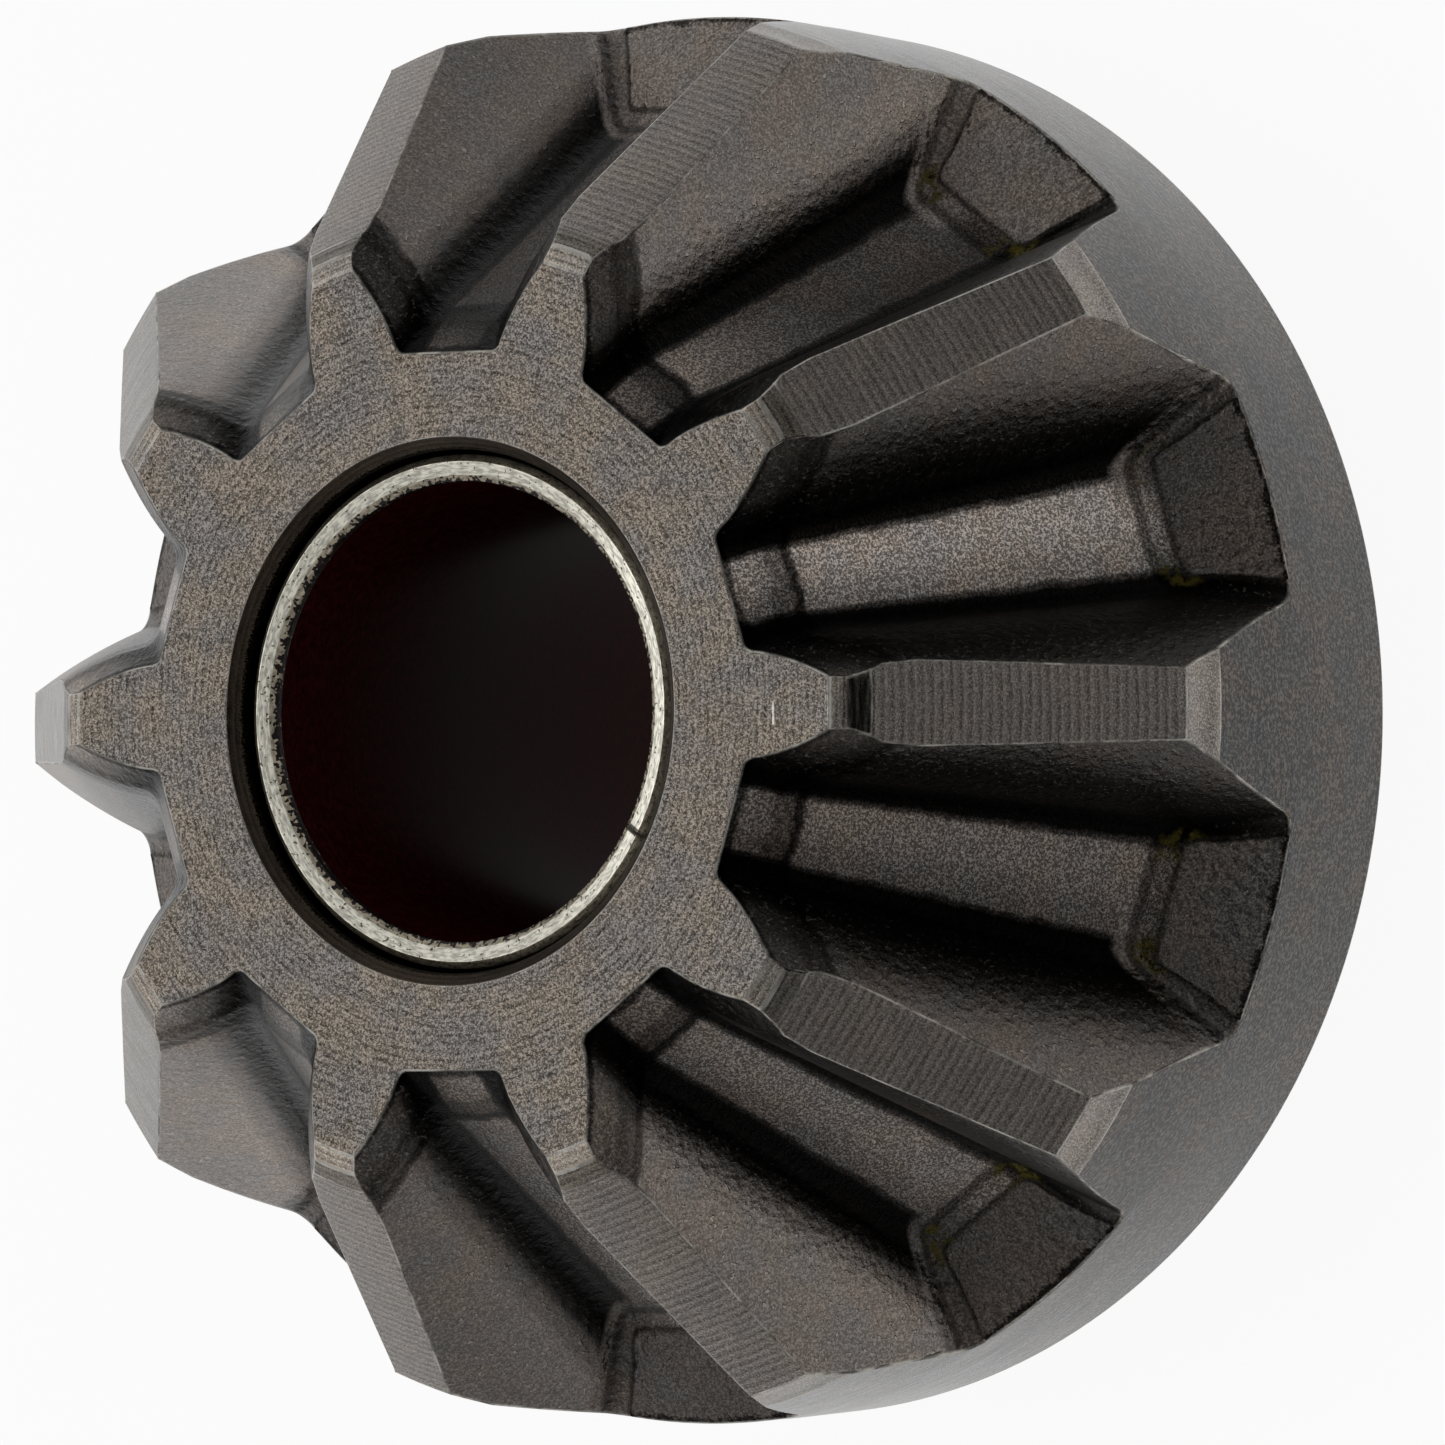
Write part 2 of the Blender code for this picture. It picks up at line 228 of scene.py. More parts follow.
# %% Find the stations where the tip of a flank turns a corner
shares = np.linspace(0, 1, 600)
tips = half_space(stations(share=shares))[1, :, -1]
turns = np.interp([depth + step for depth in BLANK[4:6, 1] for step in (-EDGE, 0, EDGE)], tips, shares)
shares = np.sort(np.concatenate([turns, np.linspace(0.05, 1, 20)]))
nose_levels = np.array([42.6, 42.75, 42.95, 43.105, 43.26, 43.6, 43.85, 43.9958, 44.15, 44.35, 44.6, 44.85,
                        45.2, 45.7, 46.3])
sections = [half_space(stations(NOSE, extra=EDGE, limit=BLANK[1, 0] - EDGE)),
            half_space(stations(nose_levels)),
            half_space(stations(share=shares)),
            half_space(stations(share=1.0, turn=np.linspace(0, 1, 9)[1:]))]
space = np.concatenate(sections, axis=1)
relief_end = 1 + len(nose_levels) + int(np.searchsorted(shares, turns[4]))
print("A space has", space.shape[1], "stations of", space.shape[2], "rows; its tip meets the rim",
      round(float(space[1, relief_end, -1] - NOSE), 2), "mm below the nose")

# %% [markdown]
# ## The heel walls, the tooth tops and the turned faces
#
# The wall that closes a space is a piece of a cone, the tops of the teeth are
# turned, and so are the nose, the rim and the back. Each is a grid that takes
# over the points of its neighbour's edge, so that all of them close into one
# skin. Where two faces meet, the grids have a line of points a little inside
# the edge on each side, and the edge is later drawn in between them, as wear
# and the tumbling of the real part round it.

# %% Close the heel with a wall
def blend(first, last, share):
    """A straight mixture of two arrays."""
    return first + (last - first) * share


heel = space[:, -1]
run = np.hypot(np.diff(heel[0]), np.diff(heel[2]) * RIM)
run = np.concatenate([[0.0], np.cumsum(run)]) / run.sum()
WALL_LIP = 0.42
length = np.maximum(RIM - heel[0], 1e-6)
climb = np.stack([np.full_like(length, share) for share in (0.12, 0.3, 0.5, 0.7)]
                 + [1 - np.minimum(WALL_LIP / length, 0.2), 1 - np.minimum(EDGE / length, 0.1),
                    np.ones_like(length)])
wall_radius = blend(heel[0], RIM, climb)
wall = np.stack([wall_radius, FLOOR_END[1] + (wall_radius - FLOOR_END[0]) / np.tan(WALL_ANGLE),
                 blend(heel[2], heel[2, -1] * run, climb)])
half = np.concatenate([space, wall], axis=1)
print("The wall's lip lies", round(float(wall[1, -1, 0] - NOSE), 2), "mm below the nose")

# %% Lay the tooth tops and the edges of the turned faces
def both_halves(rows, axis):
    """Rows from the middle outwards, with their mirror image put before them."""
    turned = np.flip(rows, axis=axis).copy()
    turned[2] *= -1
    keep = np.moveaxis(np.moveaxis(turned, axis, 0)[:-1], 0, axis)
    return np.concatenate([keep, rows], axis=axis)


space_grid = both_halves(half, 2)
tip = half[:, 1:relief_end + 1, -1]
from_middle = HALF_PITCH - tip[2]
inner = 1 - EDGE / (tip[0] * from_middle)
spread = np.concatenate([np.linspace(0, 1, 6)[:-1, None] * inner, inner[None], np.ones_like(inner)[None]])
top_half = np.stack(np.broadcast_arrays(tip[0], tip[1], spread * from_middle))
top_grid = both_halves(top_half, 1).transpose(0, 2, 1)
inside = half[:, 0, -1]
nose_line = top_grid[:, 0].copy()
nose_line[0] = inside[0]
nose_line[2] *= (HALF_PITCH - inside[2]) / from_middle[0]
print("Space grid", space_grid.shape[1:], "and tooth top grid", top_grid.shape[1:])

# %% Lay the rim below the teeth
RIM_GRID_END = 74.6
RIM_TAPER, TAPER_DEPTH = 0.5, 10.98


def into_rim(line):
    """The line moved across itself by the edge's width, on the unrolled rim, into the metal."""
    along = np.gradient(line[2] * RIM), np.gradient(line[1])
    size = np.hypot(*along) + 1e-9
    return np.stack([line[0], line[1] + EDGE * along[0] / size, line[2] - EDGE / RIM * along[1] / size])


heel_index = space.shape[1] - 1
over_top = top_half[:, ::-1, -1].copy()
over_top[2] = HALF_PITCH - over_top[2]
upper = np.concatenate([wall[:, -1], half[:, heel_index - 1:relief_end:-1, -1], over_top], axis=1)
evenly = np.linspace(0, HALF_PITCH, upper.shape[1])
lower = np.stack([upper[0], np.full_like(evenly, RIM_GRID_END), 0.5 * upper[2] + 0.5 * evenly])
inset_line = into_rim(upper)
inset_line[2, [0, -1]] = 0, HALF_PITCH
rim_lines = [blend(inset_line, lower, share) for share in (0, 0.08, 0.22, 0.45, 0.7, 1)]
rim_half = np.stack([upper] + rim_lines, axis=1)
rim_half[0] = RIM - RIM_TAPER * np.clip((rim_half[1] - wall[1, -1, 0]) / TAPER_DEPTH, 0, 1)
rim_grid = both_halves(rim_half, 2)
print("The rim below a space is a grid of", rim_grid.shape[1], "by", rim_grid.shape[2], "points")

# %% [markdown]
# ## The back, the bore and the middle of the nose
#
# These faces never meet a tooth, so they are plain turning work: a ball-shaped
# thrust face that runs in a washer, a flat ring, the bore and its mouth. A
# Screw modifier could sweep the profile. Here the profile is carried round the
# axis as one more grid, because its first and last points join the teeth.

# %% Turn the back, the bore and the middle of the nose
def with_edges(corners, reach=EDGE):
    """The corners of a profile, each with a point a little before it and a little after it."""
    corners = np.array(corners)
    step = np.diff(corners, axis=0)
    step = step / np.hypot(step[:, 0], step[:, 1])[:, None] * reach
    inner = np.stack([corners[1:-1] - step[:-1], corners[1:-1], corners[1:-1] + step[1:]], axis=1)
    return np.concatenate([corners[:1], inner.reshape(-1, 2), corners[-1:]])


BALL_START, FLAT_START = (45.65, 83.6997), (24.5, BACK_DEPTH)
BORE_RADIUS, TURN_STEPS, BALL_STEPS = 17.05, 240, 15
ball_radius = np.hypot(*BALL_START)
sweep = np.linspace(np.arctan2(*BALL_START), np.arctan2(*FLAT_START), BALL_STEPS + 1)
ball_face = np.stack([ball_radius * np.sin(sweep), ball_radius * np.cos(sweep)], axis=1)
rim_profile = with_edges([(46.60, 76.2), (46.25, 83.0997), BALL_START, ball_face[1]])
flat_profile = with_edges([ball_face[-2], FLAT_START, (18.4, BACK_DEPTH), (BORE_RADIUS, 90.7874),
                           (BORE_RADIUS, 70)])
mouth_profile = with_edges([(BORE_RADIUS, 56), (BORE_RADIUS, 43.4), (17.85, NOSE), (21.5, NOSE)])
profile = np.concatenate([rim_profile, ball_face[2:-2], flat_profile, mouth_profile])
flat_row = len(rim_profile) + BALL_STEPS - 1
corner_rows = [2, 5, flat_row, flat_row + 3, flat_row + 6, len(profile) - 6, len(profile) - 3]
turns_round = np.linspace(0, 2 * np.pi, TURN_STEPS + 1)
turned_grid = np.stack(np.broadcast_arrays(profile[:, :1], profile[:, 1:], turns_round))
print("Corners of the turned profile:", np.round(profile[corner_rows], 2).tolist())

# %% [markdown]
# ## One skin
#
# Up to here there is one space, one tooth top and one turned face, each as
# radius, depth and turn. Now each is set round the axis as often as the gear
# has it. Loose grids could be shown side by side, but light would break at
# their borders, so their common points are merged and they become one mesh.

# %% Gather the grids into one skin
FINISHES = ("nose_face", "tooth_tops", "tip_chamfers", "rim", "forged_skin", "back_face", "bore_wall")
NOSE_FACE, TOOTH_TOPS, TIP_CHAMFERS, RIM_BAND, FORGED_SKIN, BACK_FACE, BORE_WALL = range(len(FINISHES))
FAR = 9.0
middles = {"space": HALF_PITCH * (2 * np.arange(TEETH) + 1), "tooth": HALF_PITCH * 2 * np.arange(TEETH),
           "once": np.zeros(1)}


def empty_piece():
    """The lists that a piece is gathered in."""
    return {name: [] for name in ("points", "faces", "finish", "edge", "measure", "lip")}


def add_sheet(into, faces, **values):
    """Adds one sheet of points and faces to the lists of a piece."""
    first = sum(len(sheet) for sheet in into["points"])
    into["faces"] += (faces + first).tolist()
    for name, value in values.items():
        into[name].append(value)


def to_points(line, turn=0.0):
    """Radius, depth and azimuth in millimetres, as x, y and z in metres."""
    angle = line[2] + turn
    return np.stack([line[0] * np.cos(angle), line[0] * np.sin(angle), BACK_DEPTH - line[1]], axis=-1) * MM


def add_grid(into, grid, where, finish, edge, measure=None, lip=None):
    """Puts a grid of radius, depth and azimuth in each of its places, as a sheet of four-sided faces."""
    rows, columns = grid.shape[1:]
    measure = np.zeros((rows, columns, 3)) if measure is None else measure
    lip = np.full((rows, columns), FAR) if lip is None else lip
    index = np.arange(rows * columns).reshape(rows, columns)
    quads = np.stack([index[:-1, :-1], index[1:, :-1], index[1:, 1:], index[:-1, 1:]], axis=-1)
    finish = np.broadcast_to(np.asarray(finish).reshape(-1, 1), (rows - 1, columns - 1))
    for turn in middles[where]:
        add_sheet(into, quads.reshape(-1, 4), points=to_points(grid, turn).reshape(-1, 3),
                  finish=finish.reshape(-1), edge=edge.reshape(-1), measure=measure.reshape(-1, 3),
                  lip=lip.reshape(-1))


def round_the_gear(line, where):
    """A line that belongs to one space or tooth, repeated ten times round the axis."""
    every = np.concatenate([line[2] + turn for turn in middles[where]])
    return np.stack([np.tile(line[0], TEETH), np.tile(line[1], TEETH), np.mod(every, 2 * np.pi)])


def join_rings(into, fine, coarse, finish):
    """Fills the gap between two rings: each side of one meets the nearest point of the other."""
    rings = []
    for ring in (fine, coarse):
        ring = ring[:, np.argsort(ring[2], kind="stable")]
        apart = np.diff(ring[2], append=ring[2, :1] + 2 * np.pi) > 1e-7
        rings.append(ring[:, apart])
    halfway = [(ring[2] + np.append(ring[2, 1:], ring[2, 0] + 2 * np.pi)) / 2 for ring in rings]
    fine_index, coarse_index = (np.arange(ring.shape[1]) for ring in rings)
    size, other = len(fine_index), len(coarse_index)
    near = np.searchsorted(halfway[1], halfway[0]) % other
    far = np.searchsorted(halfway[0], halfway[1]) % size
    faces = np.concatenate([np.stack([fine_index, (fine_index + 1) % size, size + near], axis=1),
                            np.stack([size + (coarse_index + 1) % other, size + coarse_index, far], axis=1)])
    add_sheet(into, faces, points=np.concatenate([to_points(ring) for ring in rings]),
              finish=np.full(len(faces), finish), edge=np.zeros(size + other, bool),
              measure=np.zeros((size + other, 3)), lip=np.full(size + other, FAR))


print("Places round the axis:", {name: len(turns) for name, turns in middles.items()})

# %% Measure the tooth spaces and add them
skin = empty_piece()
on_edge = np.zeros(space_grid.shape[1:], bool)
on_edge[1:, [0, -1]] = True
on_edge[[1, -1]] = True
place = to_points(space_grid) / MM
steps_across = np.linalg.norm(np.diff(place, axis=1, prepend=place[:, :1]), axis=2)
steps_along = np.linalg.norm(np.diff(place, axis=0, prepend=place[:1]), axis=2)
girth = np.cumsum(steps_across, axis=1)
girth = girth - girth[:, space_grid.shape[2] // 2, None]
ray = np.hypot(space_grid[0], space_grid[1])
along = np.cumsum(steps_along, axis=0)
from_toe, from_heel = along - along[1], along - along[heel_index]
to_lip = np.full_like(ray, FAR)
to_lip[heel_index:] = np.hypot(RIM - space_grid[0], wall[1, -1, 0] - space_grid[1])[heel_index:]
measures = np.stack([100 * girth / ray, from_toe, from_heel], axis=-1)
finish = np.full(space_grid.shape[1] - 1, FORGED_SKIN)
finish[0] = NOSE_FACE
add_grid(skin, space_grid, "space", finish, on_edge, measures, to_lip)
print("A space is at most", round(2 * float(np.abs(girth).max()), 1), "mm of girth from tip to tip")

# %% Add the tooth tops, the rim and the turned faces
levels = top_grid[1, :, 0]
corner_line = (np.abs(levels[:, None] - BLANK[1:6, 1]) < 0.01).any(axis=1)
corner_line[[0, -1]] = True
on_edge = np.zeros(top_grid.shape[1:], bool)
on_edge[:, [0, -1]] = True
on_edge[corner_line] = True
finish = np.where((levels[:-1] + levels[1:]) / 2 < BLANK[3, 1], TIP_CHAMFERS, TOOTH_TOPS)
add_grid(skin, top_grid, "tooth", finish, on_edge)
tip_strip = np.stack([nose_line, top_grid[:, 0]], axis=1)
last_row = [corner_rows[0], corner_rows[4], corner_rows[-1], len(profile) - 1]
turned = np.repeat([RIM_BAND, BACK_FACE, BORE_WALL, NOSE_FACE], np.diff(last_row, prepend=0))
for grid, where, finish, edge_rows in (
        (tip_strip, "tooth", NOSE_FACE, 1), (rim_grid, "space", RIM_BAND, 0),
        (turned_grid, "once", turned, corner_rows)):
    on_edge = np.zeros(grid.shape[1:], bool)
    on_edge[edge_rows] = True
    add_grid(skin, grid, where, finish, on_edge)
nose_ring = np.concatenate([round_the_gear(space_grid[:, 0], "space"),
                            round_the_gear(nose_line[:, 1:-1], "tooth")], axis=1)
join_rings(skin, nose_ring, turned_grid[:, -1, :-1], NOSE_FACE)
join_rings(skin, round_the_gear(rim_grid[:, -1], "space"), turned_grid[:, 0, :-1], RIM_BAND)
print("Points laid:", sum(len(sheet) for sheet in skin["points"]))

# %% Merge the skin, round its edges and set its normals
def merged_mesh(name, source):
    """Joins the sheets where their points meet, and keeps each face's finish and each point's values."""
    mesh = bpy.data.meshes.new(name)
    mesh.from_pydata(np.concatenate(source["points"]).tolist(), [], source["faces"])
    mesh.polygons.foreach_set("material_index", np.concatenate(source["finish"]).astype(np.int32))
    for label in ("edge", "lip"):
        values = mesh.attributes.new(label, "FLOAT", "POINT")
        values.data.foreach_set("value", np.concatenate(source[label]).astype(np.float32))
    measure = mesh.attributes.new("measure", "FLOAT_VECTOR", "POINT")
    measure.data.foreach_set("vector", np.concatenate(source["measure"]).astype(np.float32).ravel())
    work = bmesh.new()
    work.from_mesh(mesh)
    bmesh.ops.remove_doubles(work, verts=work.verts, dist=2e-6)
    bmesh.ops.recalc_face_normals(work, faces=work.faces)
    gaps = sum(not edge.is_manifold for edge in work.edges)
    work.to_mesh(mesh)
    work.free()
    print(name, "has", len(mesh.vertices), "points,", len(mesh.polygons), "faces and", gaps, "open edges")
    return mesh


def read(collection, field, width, kind=np.float32):
    """One number or row of numbers for each item of a collection, as an array."""
    values = np.empty(len(collection) * width, kind)
    collection.foreach_get(field, values)
    return values.reshape(-1, width) if width > 1 else values


def draw_edges_in(mesh, reach):
    """Each edge point moves halfway to the mean of its neighbours that lie off the edge, within the reach."""
    place = read(mesh.vertices, "co", 3).astype(float)
    mark = read(mesh.attributes["edge"].data, "value", 1) > 0.5
    sides = read(mesh.edges, "vertices", 2, np.int32)
    sides = np.concatenate([sides, sides[:, ::-1]])
    near = np.linalg.norm(place[sides[:, 0]] - place[sides[:, 1]], axis=1) < reach
    sides = sides[mark[sides[:, 0]] & ~mark[sides[:, 1]] & near]
    total = np.zeros_like(place)
    number = np.zeros(len(place))
    np.add.at(total, sides[:, 0], place[sides[:, 1]])
    np.add.at(number, sides[:, 0], 1)
    moved = number > 0
    place[moved] += 0.5 * (total[moved] / number[moved, None] - place[moved])
    mesh.vertices.foreach_set("co", place.astype(np.float32).ravel())
    print("Edge points drawn in:", int(moved.sum()))


def smooth_by_area(mesh):
    """Each point's normal is the sum of its faces' normals, each as long as its face is large."""
    mesh.shade_smooth()
    mesh.update()
    weight = read(mesh.polygons, "area", 1)[:, None] * read(mesh.polygons, "normal", 3)
    corners = read(mesh.loops, "vertex_index", 1, np.int32)
    face_of = np.repeat(np.arange(len(mesh.polygons)), read(mesh.polygons, "loop_total", 1, np.int32))
    normals = np.zeros((len(mesh.vertices), 3))
    np.add.at(normals, corners, weight[face_of])
    normals /= np.linalg.norm(normals, axis=1, keepdims=True) + 1e-20
    mesh.normals_split_custom_set_from_vertices(normals.tolist())


gear_mesh = merged_mesh("pinion_skin", skin)
draw_edges_in(gear_mesh, 1.7 * EDGE * MM)
smooth_by_area(gear_mesh)
gear = new_object("pinion_skin", gear_mesh)
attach(gear, "root")
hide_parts("pinion_gear")

# %% [markdown]
# ## The bush
#
# The bush in the bore is a strip of steel with a tin-coloured skin and a dark
# sliding layer, rolled until its ends meet. It could be taken as the CAD has
# it, but its end face, its speckled inner chamfer and its lining are three
# finishes on one ring. So its profile, with every corner eased, is carried
# round the axis once more, and each corner of the profile says which finish
# comes next. The seam is left open, as on the real one.

# %% Roll the bush
SUNK, INSIDE_RADIUS = 1.1, 15.0
BUSH_TOP, BUSH_FOOT = NOSE + SUNK, BACK_DEPTH - SUNK
HALF_SEAM, SEAM_ANGLE = 0.08, -np.pi / 6
BUSH_EDGE, BUSH_STEPS = 0.06, 360
BUSH_FINISHES = ("bush_lining", "bush_inner_chamfer", "bush_face", "bush_rim")
LINING, CHAMFER, END_FACE, OUTSIDE = range(len(BUSH_FINISHES))
upper_end = np.array([(INSIDE_RADIUS, 1.1), (INSIDE_RADIUS, 0.57), (15.41, 0.3), (16.29, 0.06),
                      (16.75, 0.45)])
lower_end = upper_end[::-1] * (1, -1) + (0, BUSH_FOOT)
halfway_down = [(INSIDE_RADIUS, 70.0)]
bush_corners = np.concatenate([halfway_down, upper_end + (0, BUSH_TOP), lower_end, halfway_down])
bush_profile = with_edges(bush_corners, BUSH_EDGE)
roll = np.linspace(0, 2 * np.pi, BUSH_STEPS + 1)
lost = np.arcsin(HALF_SEAM / bush_profile[:, :1]) * (1 - roll / np.pi)
bush_grid = np.stack(np.broadcast_arrays(bush_profile[:, :1], bush_profile[:, 1:], roll + lost + SEAM_ANGLE))
one_end = [CHAMFER, CHAMFER, END_FACE, OUTSIDE]
zone = np.repeat([LINING] + one_end + [OUTSIDE] + one_end[::-1] + [LINING], [2] + 9 * [3] + [2])
corner = np.zeros(bush_grid.shape[1:], bool)
corner[2:-1:3] = True
ring = empty_piece()
add_grid(ring, bush_grid, "once", zone, corner)
rows, columns = corner.shape
seam_end = np.arange(rows - 1) * columns
ring["faces"] += [seam_end.tolist(), (seam_end + columns - 1)[::-1].tolist()]
ring["finish"].append(np.array([OUTSIDE, OUTSIDE]))
bush_mesh = merged_mesh("bush_skin", ring)
draw_edges_in(bush_mesh, 0.1 * MM)
smooth_by_area(bush_mesh)
bush = new_object("bush_skin", bush_mesh)
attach(bush, "root")
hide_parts("split_bush")
print("The bush is", round(float(BUSH_FOOT - BUSH_TOP), 2), "mm long with walls of",
      round(float(np.ptp(bush_profile[:, 0])), 2), "mm")

# %% [markdown]
# ## Tools for the finishes
#
# A finish is a small machine of nodes. Written out by hand, each node takes
# four lines. So this cell names the few that are used again and again. Each
# socket knows its tree, so most helpers need only the sockets.

# %% Write the helpers for shader nodes
def plug(item, inputs):
    """Links each input that is a socket and sets each one that is a number."""
    for name, value in inputs.items():
        if isinstance(value, bpy.types.NodeSocket):
            item.id_data.links.new(value, item.inputs[name])
        else:
            item.inputs[name].default_value = value
    return item


def add(tree, kind, inputs=None, **settings):
    """A node of this kind, with its settings and its inputs."""
    item = tree.nodes.new("ShaderNode" + kind)
    for name, value in settings.items():
        setattr(item, name, value)
    return plug(item, inputs or {})


def maths(operation, *values):
    """One step of arithmetic, by the name that Blender gives it, in the tree of the first socket."""
    tree = next(value.id_data for value in values if isinstance(value, bpy.types.NodeSocket))
    return add(tree, "Math", dict(enumerate(values)), operation=operation.upper()).outputs[0]


def times(product, *factors):
    """The product of all the factors."""
    for factor in factors:
        product = maths("multiply", product, factor)
    return product


def straight(value, slope, start):
    """A straight line: the value times the slope, plus the start."""
    return maths("multiply_add", value, slope, start)


def between(share, start, end):
    """The start where the share is 0, the end where it is 1."""
    return straight(share, maths("subtract", end, start), start)


def distance(value, centre=None):
    """How far a value lies from a centre, or else from 0."""
    return maths("absolute", value if centre is None else maths("subtract", value, centre))


def vector(operation, first, second=(0, 0, 0)):
    """One step of arithmetic on vectors."""
    return add(first.id_data, "VectorMath", {0: first, 1: second}, operation=operation).outputs


def scaled(value, by):
    """A vector or a colour times a number."""
    return add(value.id_data, "VectorMath", {0: value, "Scale": by}, operation="SCALE").outputs[0]


def split(value):
    """The three numbers of a vector."""
    return add(value.id_data, "SeparateXYZ", {0: value}).outputs


def noise(place, scale, detail=1.0, roughness=0.5):
    """Smooth chance values round 0.5, with this many lumps in a millimetre and this many finer copies."""
    inputs = {"Vector": place, "Scale": scale, "Detail": detail, "Roughness": roughness}
    return add(place.id_data, "TexNoise", inputs).outputs[0]


def fade(value, low, high, start=0.0, end=1.0):
    """A smooth step: the start up to low, the end from high."""
    inputs = {"Value": value, "From Min": low, "From Max": high, "To Min": start, "To Max": end}
    return add(value.id_data, "MapRange", inputs, interpolation_type="SMOOTHSTEP").outputs[0]


def mixture(share, first, second):
    """A colour between two others."""
    item = add(share.id_data, "Mix", data_type="RGBA")
    colors = [value if isinstance(value, bpy.types.NodeSocket) else (*value, 1) for value in (first, second)]
    return plug(item, {0: share, 6: colors[0], 7: colors[1]}).outputs[2]


def curve(value, stops):
    """A curve with soft bends through stops, each a position from 0 to 1 and a level."""
    item = add(value.id_data, "ValToRGB", {0: value})
    ramp = item.color_ramp
    ramp.interpolation = "EASE"
    while len(ramp.elements) < len(stops):
        ramp.elements.new(0.5)
    for element, (position, _) in zip(ramp.elements, stops):
        element.position = position
    for element, (_, level) in zip(ramp.elements, stops):
        element.color = (level, level, level, 1)
    return item.outputs[0]


def attribute(tree, name, output="Fac"):
    """A value that each point of the skin knows."""
    return add(tree, "Attribute", attribute_name=name).outputs[output]


def new_group(name, inputs, outputs):
    """A node group with named sockets: its tree, its input sockets and its output node."""
    tree = bpy.data.node_groups.new(name, "ShaderNodeTree")
    for way, sockets in (("INPUT", inputs), ("OUTPUT", outputs)):
        for label, kind in sockets.items():
            tree.interface.new_socket(label, in_out=way, socket_type="NodeSocket" + kind)
    return tree, tree.nodes.new("NodeGroupInput").outputs, tree.nodes.new("NodeGroupOutput")


def use(tree, group, **inputs):
    """One placing of a group, with its own values."""
    item = tree.nodes.new("ShaderNodeGroup")
    item.node_tree = group
    return plug(item, inputs).outputs


def new_finish(name, metallic, roughness, specular=0.5):
    """A material with its shader, ready for colour, roughness and bump."""
    material = bpy.data.materials.new(name)
    material.use_nodes = True
    shader = material.node_tree.nodes["Principled BSDF"]
    plug(shader, {"Metallic": metallic, "Roughness": roughness, "Specular IOR Level": specular})
    return material, material.node_tree, shader


def in_mm(tree):
    """The place on the piece in millimetres, its x, y and height, and its distance from the axis."""
    place = scaled(add(tree, "TexCoord").outputs["Object"], 1000.0)
    x, y, height = split(place)
    flat = vector("MULTIPLY", place, (1, 1, 0))[0]
    return place, x, y, height, vector("LENGTH", flat)["Value"]


def raise_by(shader, height):
    """Feeds a height in metres to the shader's normal."""
    bump = add(shader.id_data, "Bump", {"Height": height, "Distance": 1.0, "Strength": 1.0})
    plug(shader, {"Normal": bump.outputs[0]})


print("Noise at scale 2 has two lumps in a millimetre")

# %% [markdown]
# ## Effects that the finishes share
#
# The whole gear wears one manganese phosphate coat: a fine dark crystal crust
# that drinks oil. Its tone wanders between brown and blue grey, and its grain
# glitters. Photographs of a coat could be wrapped round the teeth, but noise
# in millimetres needs no unwrapping and has no seams. Each effect is a node
# group, so that every finish can take it with its own values.

# %% Build the tones of the coat
coat_tones, given, result = new_group(
    "coat_tones", {"Place": "Vector", "Warm": "Color", "Cold": "Color"}, {"Color": "Color"})
drift = fade(noise(given["Place"], 0.22, 3, 0.6), 0.3, 0.7)
plug(result, {"Color": mixture(drift, given["Warm"], given["Cold"])})

# %% Build the grain of the coat
coat_grain, given, result = new_group(
    "coat_grain", {"Place": "Vector", "Lumps": "Float"}, {"Height": "Float", "Glitter": "Float"})
lumps = noise(given["Place"], given["Lumps"], 1, 0.9)
plug(result, {"Height": lumps, "Glitter": fade(lumps, 0.42, 0.66)})

# %% Build the marks of the turning tool
tool_marks, given, result = new_group(
    "tool_marks", {"Place": "Vector", "Across": "Float", "Feed": "Float", "Drawn": "Float"},
    {"Height": "Float", "Streaks": "Float", "Grooves": "Float"})
STREAKS_PER_MM = 6
flat = vector("MULTIPLY", given["Place"], (1, 1, 0))[0]
ahead = vector("NORMALIZE", flat)[0]
lift = add(tool_marks, "CombineXYZ", {"Z": times(given["Across"], STREAKS_PER_MM)}).outputs[0]
track = vector("ADD", scaled(ahead, given["Drawn"]), lift)[0]
streaks = noise(track, 1, 1, 0.6)
wander = times(noise(given["Place"], 0.5, 0), 0.2)
turn = maths("add", maths("divide", given["Across"], given["Feed"]), wander)
wave = maths("sine", times(turn, 2 * np.pi))
finer = maths("sine", times(turn, 4 * np.pi))
grooves = straight(straight(finer, 0.35, wave), 0.4, 0.5)
plug(result, {"Height": maths("add", grooves, streaks), "Streaks": fade(streaks, 0.33, 0.67),
              "Grooves": grooves})

# %% Build the wear of the edges
edge_wear, given, result = new_group("edge_wear", {"Place": "Vector", "Spread": "Float"}, {"Worn": "Float"})
where_worn = fade(noise(given["Place"], 0.35, 2, 0.75), 0.44, 0.6, 0.3, 1)
near_edge = fade(attribute(edge_wear, "edge"), given["Spread"], 1)
plug(result, {"Worn": times(where_worn, near_edge)})

# %% Build a single bright scratch
bright_line, given, result = new_group(
    "bright_line", {"Place": "Vector", "X": "Float", "Y": "Float", "Half": "Float"}, {"Scratched": "Float"})
spot = split(given["Place"])
beside = distance(spot[0], given["X"])
end = maths("subtract", distance(spot[1], given["Y"]), given["Half"])
ragged = straight(noise(given["Place"], 2, 1), 0.16, beside)
plug(result, {"Scratched": times(fade(ragged, 0.1, 0.19, 0.8, 0), fade(end, 0, 0.3, 1, 0))})
print("Groups:", [group.name for group in bpy.data.node_groups])

